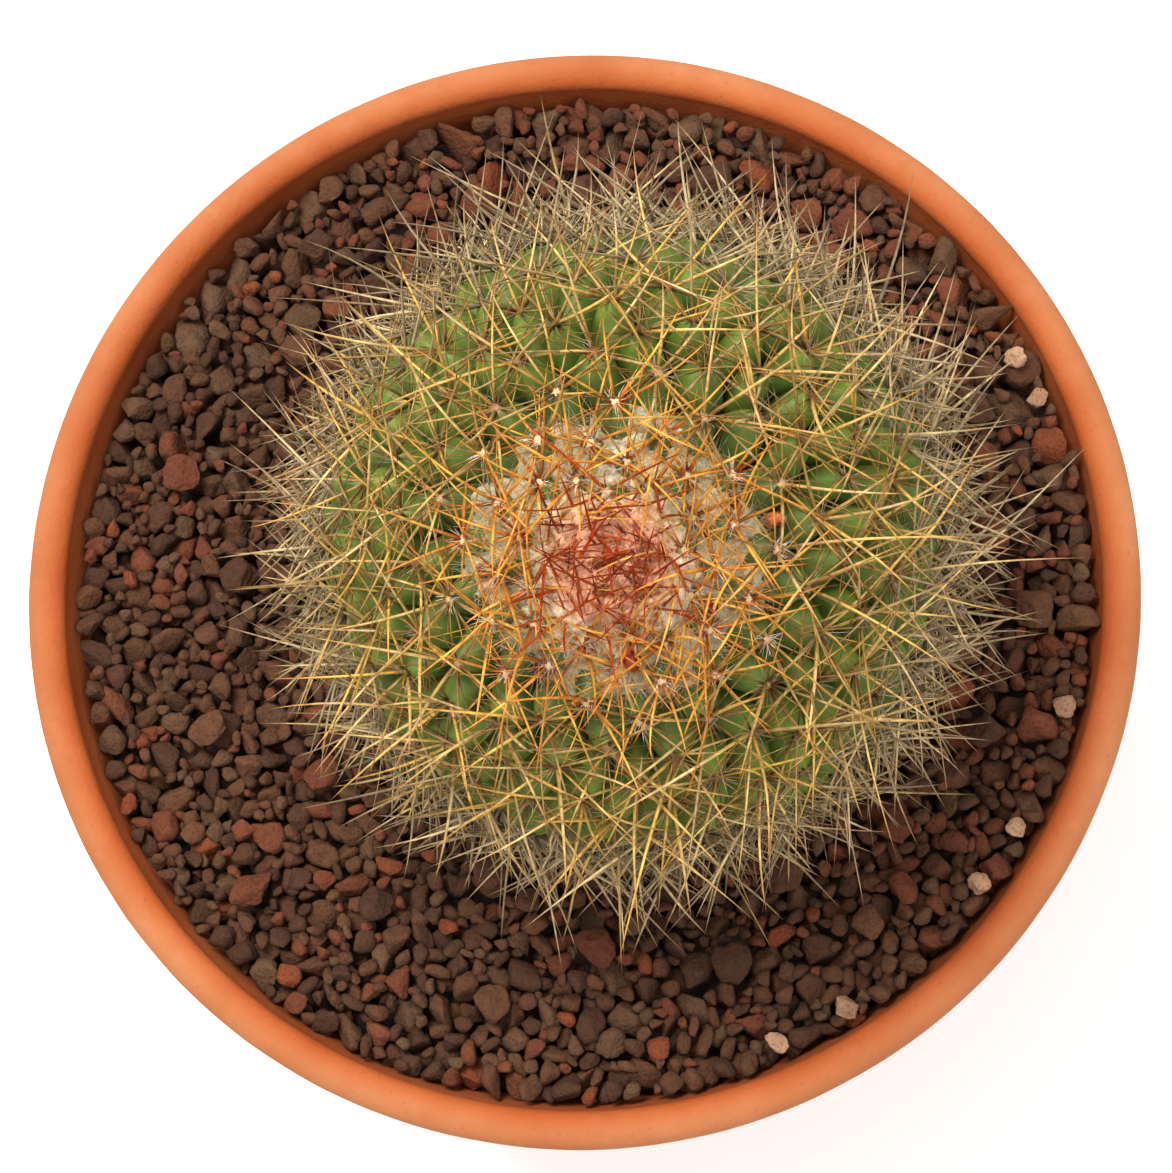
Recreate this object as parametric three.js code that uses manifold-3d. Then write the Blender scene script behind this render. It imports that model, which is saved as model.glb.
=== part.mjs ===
// A round Mammillaria-type cactus in a terracotta pot, top-dressed with lava grit.
// Millimetres, +Z up, origin at the centre of the pot's flat foot.
//
// From the outside in: pot, grit bed with loose stones on it, the stem with its
// tubercles, spines and taproot, dried flowers and a dry fruit near the crown,
// and below the grit the potting mix, drainage gravel and the crock over the hole.

import * as THREE from 'three';
import { ConvexHull } from 'three/addons/math/ConvexHull.js';
import { ConvexGeometry } from 'three/addons/geometries/ConvexGeometry.js';
import { mergeVertices } from 'three/addons/utils/BufferGeometryUtils.js';
import Module from 'manifold-3d';

const wasm = await Module();
wasm.setup();

// ---------------------------------------------------------------- dimensions

const GAP = 0.3; // clearance between pieces that touch
const AROUND = 64; // facets round the pot and everything that lines it

// Pot
const RIM_RADIUS = 100;
const POT_HEIGHT = 130;
const LIP_WIDTH = 6.8;
const COLLAR_HEIGHT = 26;
const COLLAR_STEP = 4; // how far the collar stands out from the wall below it
const COLLAR_FLARE = 3.5; // how far the collar leans out from its foot to the lip
const FOOT_RADIUS = 66;
const FOOT_CHAMFER = 2;
const FOOT_WALL = 6.5; // wall thickness just above the base
const BASE_THICKNESS = 8;
const DRAIN_RADIUS = 11;

// Fill, from the base up
const GRAVEL_DEPTH = 20;
const BED_DEPTH = 24;
const BED_BELOW_RIM = 5.5; // mean top of the grit bed below the rim
const BED_RISE = 0.026; // rise of the grit per mm towards +X
const BED_BUMP = 0.8; // height of the uneven surface, either way
const BED_RINGS = 5;

// Crock, the curved shard over the drain hole
const CROCK_RADIUS = 40;
const CROCK_THICKNESS = 5.5;
const CROCK_LENGTH = 44;
const CROCK_WIDTH = 38;
const CROCK_ROOM = 3; // clear space round it in the gravel

// Loose stones on the bed
const STONE_RADIUS = 4.2; // largest half-width of a loose stone
const STONE_HALF_HEIGHT = 2.3;
const PALE_STONE_RADIUS = 2.5;
const DARK_STONES = 36;
const PALE_STONE_ANGLES = [27.5, 22, -15, -30, -37.5, -58, -67]; // degrees, against the wall

// Stem
const STEM_X = 11.3;
const STEM_Y = 0.5;
const STEM_RADIUS = 52.5; // to the tubercle tips at the widest height
const STEM_ABOVE = 46; // widest height up to the crown
const STEM_BELOW = 50; // widest height down to the base of the globe
const STEM_SUNK = 10; // depth of the globe's base in the grit
const LEAN_ANGLE = 16; // degrees from upright
const LEAN_TOWARDS = 265; // degrees from +X round to +Y
const TUBERCLE_SPACING = 9.6;
const YOUNG_SPACING = 5; // at the very crown
const TUBERCLE_HEIGHT = 8.5;
const CROWN_RADIUS = 13; // woolly cap, where tubercles have not yet parted
const MATURE_DISTANCE = 30; // from the crown's centre to full-grown tubercles
const AREOLE_RADIUS = 1.2;

// Taproot, hanging straight down below the globe
const NECK_ROOM = 3; // how much wider the neck is than the globe where it meets the grit
const ROOT_SHOULDER_RADIUS = 11;
const ROOT_SHARE = 0.8; // share of the way from the grit's surface down to the gravel
const ROOT_LENGTH = ROOT_SHARE * (POT_HEIGHT - BED_BELOW_RIM - GRAVEL_DEPTH - BASE_THICKNESS);
const ROOT_TIP_RADIUS = 1.5;
const ROOT_FACETS = 24;

// Spines: the longest one of each areole
const SPINE_LENGTH = 22;
const YOUNG_SPINE_LENGTH = 12;
const SPINE_LEAN = 0.5; // sideways share of its direction
const SHORTEST_SPINE = 3;

// Dried flowers and fruit, seated in axils; angles from the crown's centre (degrees)
// and round it (degrees)
const FLOWER_PLACES = [[27, 26], [25, 181], [28, 230], [19.5, 272], [22.5, 328]];
const FLOWER_LENGTH = 5.4;
const FLOWER_RADIUS = 1.7;
const FRUIT_PLACE = [36, 10];
const FRUIT_LENGTH = 7.6;
const FRUIT_RADIUS = 1.5;
const AXIL_CLEARANCE = 1.4; // how far above the bottom of the axil they start

// ---------------------------------------------------------------- values worked out

const gravelTop = BASE_THICKNESS + GRAVEL_DEPTH;
const bedTop = POT_HEIGHT - BED_BELOW_RIM;
const bedBottom = bedTop - BED_DEPTH;
const stemCentre = new THREE.Vector3(STEM_X, STEM_Y, bedTop - STEM_SUNK + STEM_BELOW);
const lean = THREE.MathUtils.degToRad(LEAN_ANGLE);
const leanTowards = THREE.MathUtils.degToRad(LEAN_TOWARDS);
const growth = new THREE.Vector3(
  Math.sin(lean) * Math.cos(leanTowards), Math.sin(lean) * Math.sin(leanTowards), Math.cos(lean));
const upright = new THREE.Vector3(0, 0, 1);
const toStem = new THREE.Quaternion().setFromUnitVectors(upright, growth);
const goldenAngle = Math.PI * (3 - Math.sqrt(5));

// Distance of the globe's surface from its upright axis at a height below its middle.
function globeReach(z) {
  const below = Math.min((stemCentre.z - z) / STEM_BELOW, 1);
  return STEM_RADIUS * Math.sqrt(1 - below * below);
}

// The neck fills the grit's hole, which is as wide as the globe at the highest grit round it.
const bedCrest = bedTop + BED_RISE * (STEM_X + STEM_RADIUS) + BED_BUMP;
const neckRadius = globeReach(bedCrest) + NECK_ROOM;
const neckFoot = bedTop - BED_RISE * STEM_RADIUS - 2 * BED_BUMP; // below it the root tapers

// Highest point that a loose stone may reach anywhere on the bed: spines stop above it.
const spineFloor = bedTop + BED_RISE * RIM_RADIUS + BED_BUMP + GAP + 2 * STONE_HALF_HEIGHT + GAP;

const lerp = THREE.MathUtils.lerp;
const smoothstep = THREE.MathUtils.smoothstep;

// Inside radius of the pot at height z: a straight taper from the lip to the base.
function insideRadius(z) {
  const share = (z - BASE_THICKNESS) / (POT_HEIGHT - BASE_THICKNESS);
  return lerp(FOOT_RADIUS - FOOT_WALL, RIM_RADIUS - LIP_WIDTH, share);
}

// A repeatable stream of numbers from 0 to 1.
function seeded(seed) {
  let state = seed;
  return () => {
    state = (state * 1664525 + 1013904223) % 4294967296;
    return state / 4294967296;
  };
}

// ---------------------------------------------------------------- geometry helpers

const group = new THREE.Group();

function addPiece(name, geometry, color, roughness) {
  const material = new THREE.MeshStandardMaterial({ color, roughness, metalness: 0 });
  const mesh = new THREE.Mesh(geometry, material);
  mesh.name = name;
  group.add(mesh);
  return mesh;
}

// Profile points are [radius, height]; the axis is +Z.
function lathe(profile, segments = AROUND) {
  const points = profile.map(([r, z]) => new THREE.Vector2(r, z));
  return new THREE.LatheGeometry(points, segments).rotateX(Math.PI / 2);
}

function closedLathe(profile, segments = AROUND) {
  return lathe([...profile, profile[0]], segments);
}

function meshFrom(positions, triangles) {
  const geometry = new THREE.BufferGeometry();
  geometry.setAttribute('position', new THREE.Float32BufferAttribute(positions, 3));
  geometry.setIndex(triangles);
  return geometry;
}

function toSolid(geometry) {
  const bare = geometry.clone();
  bare.deleteAttribute('normal');
  bare.deleteAttribute('uv');
  const merged = mergeVertices(bare, 1e-4);
  return new wasm.Manifold(new wasm.Mesh({
    numProp: 3,
    vertProperties: new Float32Array(merged.attributes.position.array),
    triVerts: new Uint32Array(merged.index.array),
  }));
}

function fromSolid(solid) {
  const mesh = solid.getMesh();
  return meshFrom(Array.from(mesh.vertProperties), Array.from(mesh.triVerts));
}

// ---------------------------------------------------------------- pot

function potGeometry() {
  const collarFoot = POT_HEIGHT - COLLAR_HEIGHT;
  const collarRadius = RIM_RADIUS - COLLAR_FLARE;
  const bevel = 1.5;
  const round = LIP_WIDTH / 2;
  const lip = [];
  const lipSteps = 6;
  for (let i = 0; i <= lipSteps; i += 1) {
    const a = (Math.PI * i) / lipSteps;
    lip.push([RIM_RADIUS - round + round * Math.cos(a), POT_HEIGHT - round * (1 - Math.sin(a)) * 0.8]);
  }
  return closedLathe([
    [DRAIN_RADIUS, 0],
    [FOOT_RADIUS - FOOT_CHAMFER, 0],
    [FOOT_RADIUS, FOOT_CHAMFER],
    [collarRadius - COLLAR_STEP, collarFoot],
    [collarRadius - bevel, collarFoot],
    [collarRadius, collarFoot + bevel],
    ...lip,
    [insideRadius(BASE_THICKNESS), BASE_THICKNESS],
    [DRAIN_RADIUS, BASE_THICKNESS],
  ]);
}

addPiece('pot', potGeometry(), 0xd9703f, 0.85);

// ---------------------------------------------------------------- crock and gravel

// A curved shard with a broken outline, arched side down over the hole.
function crockGeometry() {
  const inner = CROCK_RADIUS - CROCK_THICKNESS;
  const half = Math.asin(CROCK_WIDTH / 2 / inner);
  const arch = new THREE.Shape();
  arch.absarc(0, 0, CROCK_RADIUS, Math.PI / 2 - half, Math.PI / 2 + half, false);
  arch.absarc(0, 0, inner, Math.PI / 2 + half, Math.PI / 2 - half, true);
  const bend = { depth: CROCK_LENGTH, bevelEnabled: false, curveSegments: 8 };
  const vault = new THREE.ExtrudeGeometry(arch, bend);
  vault.translate(0, 0, -CROCK_LENGTH / 2).rotateX(Math.PI / 2);

  const w = CROCK_WIDTH / 2;
  const l = CROCK_LENGTH / 2;
  const corners = [[-w, -0.7 * l], [-0.3 * w, -l], [0.8 * w, -0.85 * l], [w, 0.2 * l],
    [0.7 * w, l], [-0.1 * w, 0.8 * l], [-0.85 * w, 0.9 * l]];
  const outline = new THREE.Shape(corners.map(([x, y]) => new THREE.Vector2(x, y)));
  const cutter = new THREE.ExtrudeGeometry(outline, { depth: 2 * CROCK_RADIUS, bevelEnabled: false });

  const shard = fromSolid(toSolid(vault).intersect(toSolid(cutter)));
  shard.computeBoundingBox();
  return shard.translate(0, 0, BASE_THICKNESS + GAP - shard.boundingBox.min.z);
}

const crock = addPiece('drain_crock', crockGeometry(), 0xc9683c, 0.9);
crock.geometry.computeBoundingBox();
const crockTop = crock.geometry.boundingBox.max.z;

function gravelGeometry() {
  const bottom = BASE_THICKNESS + GAP;
  const room = Math.hypot(CROCK_LENGTH, CROCK_WIDTH) / 2 + CROCK_ROOM;
  const top = Math.max(gravelTop, crockTop + CROCK_ROOM);
  return lathe([
    [0, crockTop + GAP],
    [room - CROCK_ROOM, crockTop + GAP],
    [room, bottom],
    [insideRadius(bottom) - GAP, bottom],
    [insideRadius(top) - GAP, top],
    [0, top],
  ]);
}

addPiece('drainage_gravel', gravelGeometry(), 0x8d8a84, 0.95);

// ---------------------------------------------------------------- root, potting mix, grit bed

// The stem's buried part: a short upright neck, then a cone to the root's tip.
function rootGeometry(clearance) {
  const tip = bedTop - ROOT_LENGTH - clearance;
  return lathe([
    [0, tip],
    [ROOT_TIP_RADIUS + clearance, tip],
    [ROOT_SHOULDER_RADIUS + clearance, bedBottom],
    [neckRadius + clearance, neckFoot],
    [neckRadius + clearance, bedTop],
    [0, bedTop],
  ], ROOT_FACETS).translate(STEM_X, STEM_Y, 0);
}

function mixGeometry() {
  const bottom = Math.max(gravelTop, crockTop + CROCK_ROOM) + GAP;
  const top = bedBottom - GAP;
  const fill = lathe([
    [0, bottom],
    [insideRadius(bottom) - GAP, bottom],
    [insideRadius(top) - GAP, top],
    [0, top],
  ]);
  return fromSolid(toSolid(fill).subtract(toSolid(rootGeometry(GAP))));
}

addPiece('potting_mix', mixGeometry(), 0x3b2a1f, 1);

function bedSurface(x, y) {
  const along = Math.sin(x / 3.1 + 1.3) * Math.sin(y / 2.7);
  const across = Math.sin((x + y) / 4.3) * Math.cos((x - y) / 3.7);
  return bedTop + BED_RISE * x + (BED_BUMP * (along + across)) / 2;
}

// The bed fills the space from the buried neck out to the pot wall. Its top is uneven.
// Ring 0 lies against the neck and the last ring against the wall.
function bedPoint(step, ring) {
  const a = (2 * Math.PI * step) / AROUND;
  const hole = neckRadius + GAP;
  const wall = insideRadius(bedTop) - GAP;
  const share = ring / BED_RINGS;
  const x = lerp(STEM_X + hole * Math.cos(a), wall * Math.cos(a), share);
  const y = lerp(STEM_Y + hole * Math.sin(a), wall * Math.sin(a), share);
  const z = bedSurface(x, y);
  if (ring < BED_RINGS) {
    return [x, y, z];
  }
  const onWall = insideRadius(z) - GAP;
  return [onWall * Math.cos(a), onWall * Math.sin(a), z];
}

function bedGeometry() {
  const positions = [];
  const triangles = [];
  const ringStart = (ring) => ring * AROUND;
  for (let ring = 0; ring <= BED_RINGS; ring += 1) {
    for (let step = 0; step < AROUND; step += 1) {
      positions.push(...bedPoint(step, ring));
    }
  }
  // rings in order round the cross-section: the top from neck to wall, the bottom's wall
  // and hole, and the neck's foot
  const lower = [
    [0, 0, insideRadius(bedBottom) - GAP, bedBottom],
    [STEM_X, STEM_Y, ROOT_SHOULDER_RADIUS + GAP, bedBottom],
    [STEM_X, STEM_Y, neckRadius + GAP, neckFoot],
  ];
  for (const [x, y, radius, z] of lower) {
    for (let step = 0; step < AROUND; step += 1) {
      const a = (2 * Math.PI * step) / AROUND;
      positions.push(x + radius * Math.cos(a), y + radius * Math.sin(a), z);
    }
  }
  const rings = BED_RINGS + 1 + lower.length;
  for (let ring = 0; ring < rings; ring += 1) {
    const here = ringStart(ring);
    const next = ringStart((ring + 1) % rings);
    for (let step = 0; step < AROUND; step += 1) {
      const turn = (step + 1) % AROUND;
      triangles.push(here + step, next + step, next + turn);
      triangles.push(here + step, next + turn, here + turn);
    }
  }
  return meshFrom(positions, triangles);
}

addPiece('lava_bed', bedGeometry(), 0x5a372c, 1);

// ---------------------------------------------------------------- stem

// The globe's surface in its own frame, whose +Z is the growth axis: distance from the
// centre to the tubercle tips along a unit direction.
function globeRadius(direction) {
  const axial = direction.z > 0 ? STEM_ABOVE : STEM_BELOW;
  const across = Math.hypot(direction.x, direction.y) / STEM_RADIUS;
  return 1 / Math.hypot(across, direction.z / axial);
}

// How grown the stem is at an angle from the crown's centre: 0 in the woolly cap, 1 at maturity.
function maturity(direction) {
  const distance = STEM_RADIUS * Math.acos(THREE.MathUtils.clamp(direction.z, -1, 1));
  return smoothstep(distance, CROWN_RADIUS * 0.6, MATURE_DISTANCE);
}

// Tubercles follow one another round the crown by the golden angle. Each adds its own area
// to the cap of the globe covered so far, and young ones are smaller.
function tubercleDirections() {
  const directions = [];
  let covered = 0; // 1 - cos of the covered cap's angle, 0 at the crown and 2 at the base
  while (covered < 2) {
    const grown = maturity(new THREE.Vector3(0, 0, 1 - covered));
    const spacing = lerp(YOUNG_SPACING, TUBERCLE_SPACING, grown);
    const area = (Math.sqrt(3) / 2) * spacing * spacing;
    const share = area / (2 * Math.PI * STEM_RADIUS * (STEM_ABOVE + STEM_BELOW) / 2);
    const z = Math.max(1 - covered - share / 2, -1);
    const flat = Math.sqrt(1 - z * z);
    const turn = directions.length * goldenAngle;
    directions.push(new THREE.Vector3(flat * Math.cos(turn), flat * Math.sin(turn), z));
    covered += share;
  }
  return directions;
}

// The axils are where three neighbouring tubercles meet: the middles of the triangles
// of the tips' convex hull. Returns, for each tubercle, its axils in turn.
function axilsOf(directions) {
  const hull = new ConvexHull().setFromPoints(directions);
  const around = new Map(directions.map((direction) => [direction, []]));
  for (const face of hull.faces) {
    const corners = [face.edge.head().point, face.edge.next.head().point, face.edge.prev.head().point];
    const middle = new THREE.Vector3();
    corners.forEach((corner) => middle.add(corner));
    middle.normalize();
    corners.forEach((corner) => around.get(corner).push(middle));
  }
  for (const [direction, middles] of around) {
    const side = new THREE.Vector3().crossVectors(direction, middles[0]).normalize();
    const front = new THREE.Vector3().crossVectors(side, direction);
    const angle = (point) => Math.atan2(point.dot(side), point.dot(front));
    middles.sort((a, b) => angle(a) - angle(b));
  }
  return around;
}

const tubercles = tubercleDirections();
const axils = axilsOf(tubercles);

function axilPoint(direction) {
  const depth = TUBERCLE_HEIGHT * maturity(direction);
  return direction.clone().multiplyScalar(globeRadius(direction) - depth);
}

// Where the long spine of a tubercle ends, or null where there is no room for one.
function spineTip(direction, base, index) {
  const outward = direction.clone();
  const away = new THREE.Vector3(direction.x, direction.y, 0).normalize();
  const side = new THREE.Vector3().crossVectors(upright, away);
  const grown = maturity(direction);
  const swing = Math.sin(index * 2.4) * 0.6;
  outward.addScaledVector(away, SPINE_LEAN * grown * Math.cos(swing));
  outward.addScaledVector(side, SPINE_LEAN * Math.sin(swing)).normalize();
  const nominal = lerp(YOUNG_SPINE_LENGTH, SPINE_LENGTH, grown) * (0.88 + 0.12 * Math.cos(index * 1.7));
  const drop = outward.clone().applyQuaternion(toStem).z;
  const height = base.clone().applyQuaternion(toStem).z + stemCentre.z;
  const room = drop < 0 ? (height - spineFloor) / -drop : nominal;
  const length = Math.min(nominal, room);
  const clear = height > spineFloor && length > SHORTEST_SPINE;
  return clear ? base.clone().addScaledVector(outward, length) : null;
}

// One closed skin: six sloping sides from the axils up to a small three-cornered areole,
// which carries the spine.
function globeGeometry() {
  const positions = [];
  const triangles = [];
  const indexOf = new Map();
  const addPoint = (point) => positions.push(point.x, point.y, point.z) / 3 - 1;
  tubercles.forEach((direction, index) => {
    const corners = axils.get(direction);
    const ring = corners.map((corner) => {
      if (!indexOf.has(corner)) {
        indexOf.set(corner, addPoint(axilPoint(corner)));
      }
      return indexOf.get(corner);
    });
    const tip = direction.clone().multiplyScalar(globeRadius(direction));
    const side = new THREE.Vector3().crossVectors(direction, corners[0]).normalize();
    const front = new THREE.Vector3().crossVectors(side, direction);
    const radius = Math.min(AREOLE_RADIUS, tip.distanceTo(axilPoint(corners[0])) / 4);
    const areole = [0, 1, 2].map((k) => {
      const a = (2 * Math.PI * k) / 3;
      const rim = tip.clone().addScaledVector(front, radius * Math.cos(a));
      return addPoint(rim.addScaledVector(side, radius * Math.sin(a)));
    });
    // walk round both rings together, always advancing the one that lags behind
    const count = ring.length;
    let outer = 0;
    let inner = 0;
    while (outer < count || inner < 3) {
      const outerTurn = (outer + 0.5) / count;
      const innerTurn = (inner + 0.5) / 3;
      const a = ring[outer % count];
      const b = areole[inner % 3];
      if (outer < count && (inner === 3 || outerTurn <= innerTurn)) {
        triangles.push(a, ring[(outer + 1) % count], b);
        outer += 1;
      } else {
        triangles.push(a, areole[(inner + 1) % 3], b);
        inner += 1;
      }
    }
    const end = spineTip(direction, tip, index);
    if (end === null) {
      triangles.push(...areole);
    } else {
      const point = addPoint(end);
      [0, 1, 2].forEach((k) => triangles.push(areole[k], areole[(k + 1) % 3], point));
    }
  });
  const geometry = meshFrom(positions, triangles).applyQuaternion(toStem);
  return geometry.translate(stemCentre.x, stemCentre.y, stemCentre.z);
}

const stemGeometry = fromSolid(toSolid(globeGeometry()).add(toSolid(rootGeometry(0))));
addPiece('cactus_stem', stemGeometry, 0x5f8f3f, 0.6);

// ---------------------------------------------------------------- dried flowers and fruit

// The axil nearest to a place given by its angle from the crown and its turn round it.
function nearestAxil([fromCrown, turn]) {
  const a = THREE.MathUtils.degToRad(fromCrown);
  const b = THREE.MathUtils.degToRad(turn);
  const wanted = new THREE.Vector3(Math.sin(a) * Math.cos(b), Math.sin(a) * Math.sin(b), Math.cos(a));
  let best = null;
  for (const middles of axils.values()) {
    for (const middle of middles) {
      if (best === null || middle.dot(wanted) > best.dot(wanted)) {
        best = middle;
      }
    }
  }
  return best;
}

// A shrivelled remnant standing in an axil: narrow below and wider above.
function seatInAxil(name, place, profile, color) {
  const direction = nearestAxil(place);
  const foot = axilPoint(direction).addScaledVector(direction, AXIL_CLEARANCE);
  const mesh = addPiece(name, lathe(profile, 8), color, 0.9);
  const outward = direction.clone().applyQuaternion(toStem);
  mesh.quaternion.setFromUnitVectors(upright, outward);
  mesh.position.copy(foot.applyQuaternion(toStem).add(stemCentre));
}

FLOWER_PLACES.forEach((place, index) => {
  seatInAxil(`dried_flower_${index + 1}`, place, [
    [0, 0],
    [0.15 * FLOWER_RADIUS, 0],
    [0.5 * FLOWER_RADIUS, 0.45 * FLOWER_LENGTH],
    [FLOWER_RADIUS, 0.75 * FLOWER_LENGTH],
    [0.75 * FLOWER_RADIUS, FLOWER_LENGTH],
    [0, 0.9 * FLOWER_LENGTH],
  ], 0x8c1f22);
});

seatInAxil('dry_fruit', FRUIT_PLACE, [
  [0, 0],
  [0.2 * FRUIT_RADIUS, 0],
  [0.7 * FRUIT_RADIUS, 0.4 * FRUIT_LENGTH],
  [FRUIT_RADIUS, 0.7 * FRUIT_LENGTH],
  [0.6 * FRUIT_RADIUS, 0.95 * FRUIT_LENGTH],
  [0, FRUIT_LENGTH],
], 0xc0652e);

// ---------------------------------------------------------------- loose stones

function stoneGeometry(radius, halfHeight, random) {
  const corners = 14;
  const points = [];
  for (let i = 0; i < corners; i += 1) {
    const z = 1 - (2 * i + 1) / corners;
    const flat = Math.sqrt(1 - z * z);
    const turn = i * goldenAngle + random() * 0.8;
    const size = 0.78 + 0.22 * random();
    const squash = 0.75 + 0.25 * size;
    points.push(new THREE.Vector3(
      radius * size * flat * Math.cos(turn),
      radius * size * squash * flat * Math.sin(turn),
      halfHeight * size * z));
  }
  return new ConvexGeometry(points);
}

// Highest bed surface under a stone's footprint, counting every bed facet it may touch.
function bedHeightUnder(x, y, radius) {
  let highest = bedTop - 2 * BED_BUMP;
  for (let ring = 0; ring < BED_RINGS; ring += 1) {
    for (let step = 0; step < AROUND; step += 1) {
      const quad = [bedPoint(step, ring), bedPoint(step + 1, ring),
        bedPoint(step, ring + 1), bedPoint(step + 1, ring + 1)];
      const spanX = quad.map((p) => p[0]);
      const spanY = quad.map((p) => p[1]);
      const apart = Math.min(...spanX) > x + radius || Math.max(...spanX) < x - radius
        || Math.min(...spanY) > y + radius || Math.max(...spanY) < y - radius;
      if (!apart) {
        highest = Math.max(highest, ...quad.map((p) => p[2]));
      }
    }
  }
  return highest;
}

function stonePlaces() {
  const wall = insideRadius(bedTop) - 2 * GAP;
  const places = PALE_STONE_ANGLES.map((degrees, index) => {
    const a = THREE.MathUtils.degToRad(degrees);
    const reach = wall - PALE_STONE_RADIUS;
    const name = `pale_stone_${index + 1}`;
    const x = reach * Math.cos(a);
    const y = reach * Math.sin(a);
    return { name, x, y, radius: PALE_STONE_RADIUS, color: 0xb9a08c };
  });
  const keepOut = globeReach(spineFloor) + NECK_ROOM + STONE_RADIUS;
  for (let i = 0; i < DARK_STONES; i += 1) {
    const a = i * goldenAngle;
    // distance from the stem's axis to the wall in this direction
    const along = STEM_X * Math.cos(a) + STEM_Y * Math.sin(a);
    const offset = STEM_X * STEM_X + STEM_Y * STEM_Y;
    const limit = wall - STONE_RADIUS - 2 * PALE_STONE_RADIUS;
    const toWall = -along + Math.sqrt(along * along - offset + limit * limit);
    const share = (i + 0.5) / DARK_STONES;
    const reach = Math.sqrt(lerp(keepOut * keepOut, toWall * toWall, share));
    const name = `lava_stone_${String(i + 1).padStart(2, '0')}`;
    const x = STEM_X + reach * Math.cos(a);
    const y = STEM_Y + reach * Math.sin(a);
    places.push({ name, x, y, radius: STONE_RADIUS, color: i % 3 === 0 ? 0x7d3a28 : 0x553329 });
  }
  // no stone is wider than half the way to its nearest neighbour
  return places.map((place) => {
    const others = places.filter((other) => other !== place);
    const nearest = Math.min(...others.map((other) => Math.hypot(other.x - place.x, other.y - place.y)));
    return { ...place, radius: Math.min(place.radius, (nearest - GAP) / 2) };
  });
}

stonePlaces().forEach(({ name, x, y, radius, color }, index) => {
  const random = seeded(index + 11);
  const halfHeight = STONE_HALF_HEIGHT * Math.min(1, radius / STONE_RADIUS + 0.2);
  const mesh = addPiece(name, stoneGeometry(radius, halfHeight, random), color, 1);
  mesh.position.set(x, y, bedHeightUnder(x, y, radius) + GAP + halfHeight);
});

export default group;
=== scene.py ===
import math
from collections import namedtuple

import bmesh
import bpy
import numpy as np
from mathutils import Matrix, Quaternion, Vector


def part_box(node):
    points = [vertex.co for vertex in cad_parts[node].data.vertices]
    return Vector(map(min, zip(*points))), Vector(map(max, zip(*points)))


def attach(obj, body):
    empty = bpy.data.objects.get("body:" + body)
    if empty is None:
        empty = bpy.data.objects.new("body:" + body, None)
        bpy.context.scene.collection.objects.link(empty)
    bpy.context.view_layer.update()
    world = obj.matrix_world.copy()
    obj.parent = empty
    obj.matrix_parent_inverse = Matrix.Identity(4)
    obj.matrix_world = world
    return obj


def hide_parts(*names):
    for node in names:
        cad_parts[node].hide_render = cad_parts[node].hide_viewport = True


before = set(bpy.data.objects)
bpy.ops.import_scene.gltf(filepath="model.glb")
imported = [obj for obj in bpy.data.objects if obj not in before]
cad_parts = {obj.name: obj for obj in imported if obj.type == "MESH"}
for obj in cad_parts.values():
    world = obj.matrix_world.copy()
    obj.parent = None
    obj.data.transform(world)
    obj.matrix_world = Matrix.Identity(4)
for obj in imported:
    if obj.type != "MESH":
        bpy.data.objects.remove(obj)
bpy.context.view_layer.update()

MM = 0.001
BODY = "root"

# ---------------- the plant and its pot
# Sizes in metres. Those that the frame gives are read from it.

pot_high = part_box("pot")[1]
bed_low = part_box("lava_bed")[0]
RIM_RADIUS = pot_high.x
POT_HEIGHT = pot_high.z
LIP_WIDTH = 6.8 * MM
COLLAR_HEIGHT = 26 * MM
COLLAR_STEP = 4 * MM
COLLAR_FLARE = 3.5 * MM
FOOT_RADIUS = 66 * MM
FOOT_WALL = 6.5 * MM
BASE_THICKNESS = 8 * MM
DRAIN_RADIUS = 11 * MM
EDGE_ROUND = 1.6 * MM
INNER_ROUND = 4 * MM

BED_BELOW_RIM = 5.5 * MM
BED_RISE = 0.026
bed_top = POT_HEIGHT - BED_BELOW_RIM

STEM_X = 11.3 * MM
STEM_Y = 0.5 * MM
STEM_RADIUS = 52.5 * MM
STEM_ABOVE = 46 * MM
STEM_BELOW = 50 * MM
STEM_SUNK = 10 * MM
LEAN_ANGLE = math.radians(16)
LEAN_TOWARDS = math.radians(265)
TUBERCLE_SPACING = 9.6 * MM
YOUNG_SPACING = 5 * MM
TUBERCLE_HEIGHT = 8.5 * MM
CROWN_RADIUS = 13 * MM
MATURE_DISTANCE = 30 * MM
AREOLE_RADIUS = 1.0 * MM

stem_centre = np.array([STEM_X, STEM_Y, bed_top - STEM_SUNK + STEM_BELOW])
growth = np.array([
    math.sin(LEAN_ANGLE) * math.cos(LEAN_TOWARDS),
    math.sin(LEAN_ANGLE) * math.sin(LEAN_TOWARDS),
    math.cos(LEAN_ANGLE),
])
stem_turn = np.array(Vector((0, 0, 1)).rotation_difference(Vector(growth)).to_matrix())
GOLDEN_ANGLE = math.pi * (3 - math.sqrt(5))


def inside_radius(z):
    """Inside radius of the pot at height z."""
    share = (z - BASE_THICKNESS) / (POT_HEIGHT - BASE_THICKNESS)
    foot = FOOT_RADIUS - FOOT_WALL
    return foot + (RIM_RADIUS - LIP_WIDTH - foot) * share


# ---------------- helpers


def smooth(x, low, high):
    t = np.clip((x - low) / (high - low), 0, 1)
    return t * t * (3 - 2 * t)


def unit(v):
    return v / np.maximum(np.linalg.norm(v, axis=-1, keepdims=True), 1e-12)


def mix(a, b, share):
    return a + (b - a) * share


def srgb(r, g, b):
    """A colour given as 0 to 255 display values, as linear light."""
    c = np.array([r, g, b]) / 255
    return np.where(c <= 0.04045, c / 12.92, ((c + 0.055) / 1.055) ** 2.4)


WAVES = 14               # sine waves in one noise


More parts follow.
